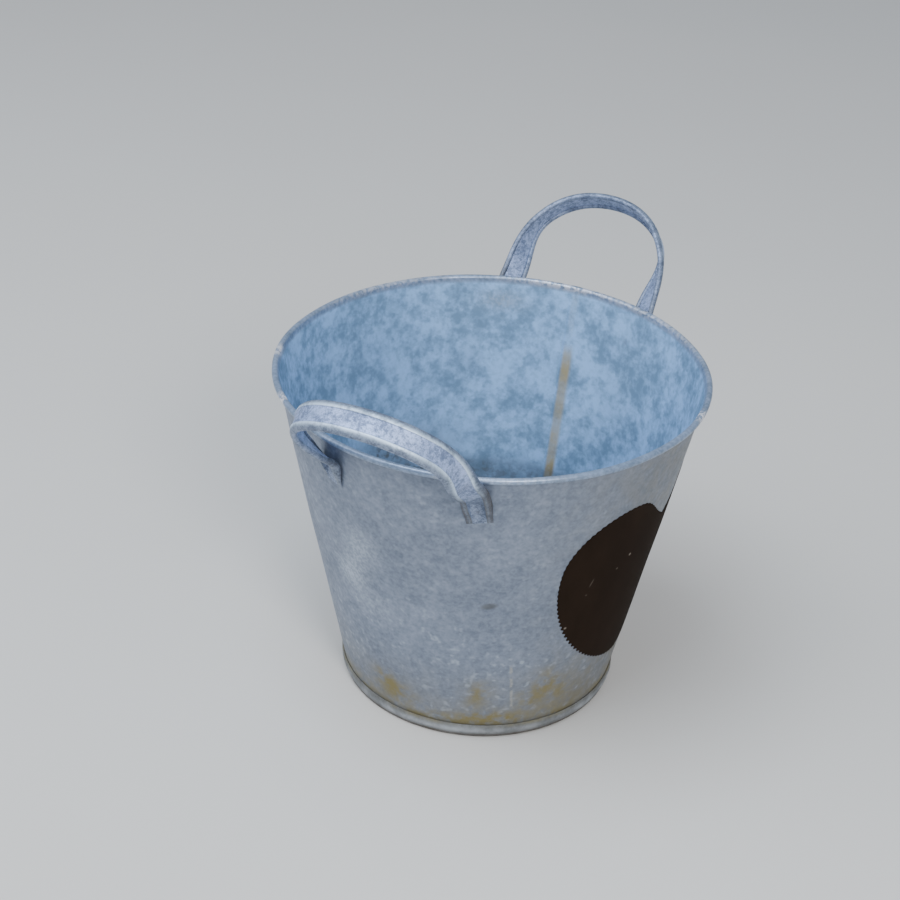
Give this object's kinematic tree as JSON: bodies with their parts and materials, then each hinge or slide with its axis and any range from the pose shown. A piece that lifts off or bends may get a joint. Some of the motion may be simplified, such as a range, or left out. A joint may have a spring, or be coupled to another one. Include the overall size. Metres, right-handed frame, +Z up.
{
  "type": "florist bucket",
  "caption": "Tapered galvanised steel flower bucket with a rolled rim, two fixed strap handles that lean out over the rim, and a heart-shaped blackboard patch on its side.",
  "frame": {"origin": "on the bucket's axis, at the plane the foot stands on", "axes": "+Z up along the bucket's axis; +Y from the front handle to the back handle; +X out through the blackboard heart"},
  "size_m": [0.2574, 0.3588, 0.2605],
  "materials": {
    "wall_zinc": "dull galvanised zinc with a fine spangle and water stains",
    "wire_steel": "drawn steel wire",
    "pan_zinc": "dull galvanised zinc",
    "strap_zinc": "satin galvanised zinc with bright, rubbed edges",
    "blackboard": "dead matt blackboard coating"
  },
  "bodies": {
    "root": {"bucket_wall": "wall_zinc", "rim_wire": "wire_steel", "bottom_pan": "pan_zinc", "handle_back": "strap_zinc", "handle_front": "strap_zinc", "blackboard_heart": "blackboard"}
  },
  "joints": []
}
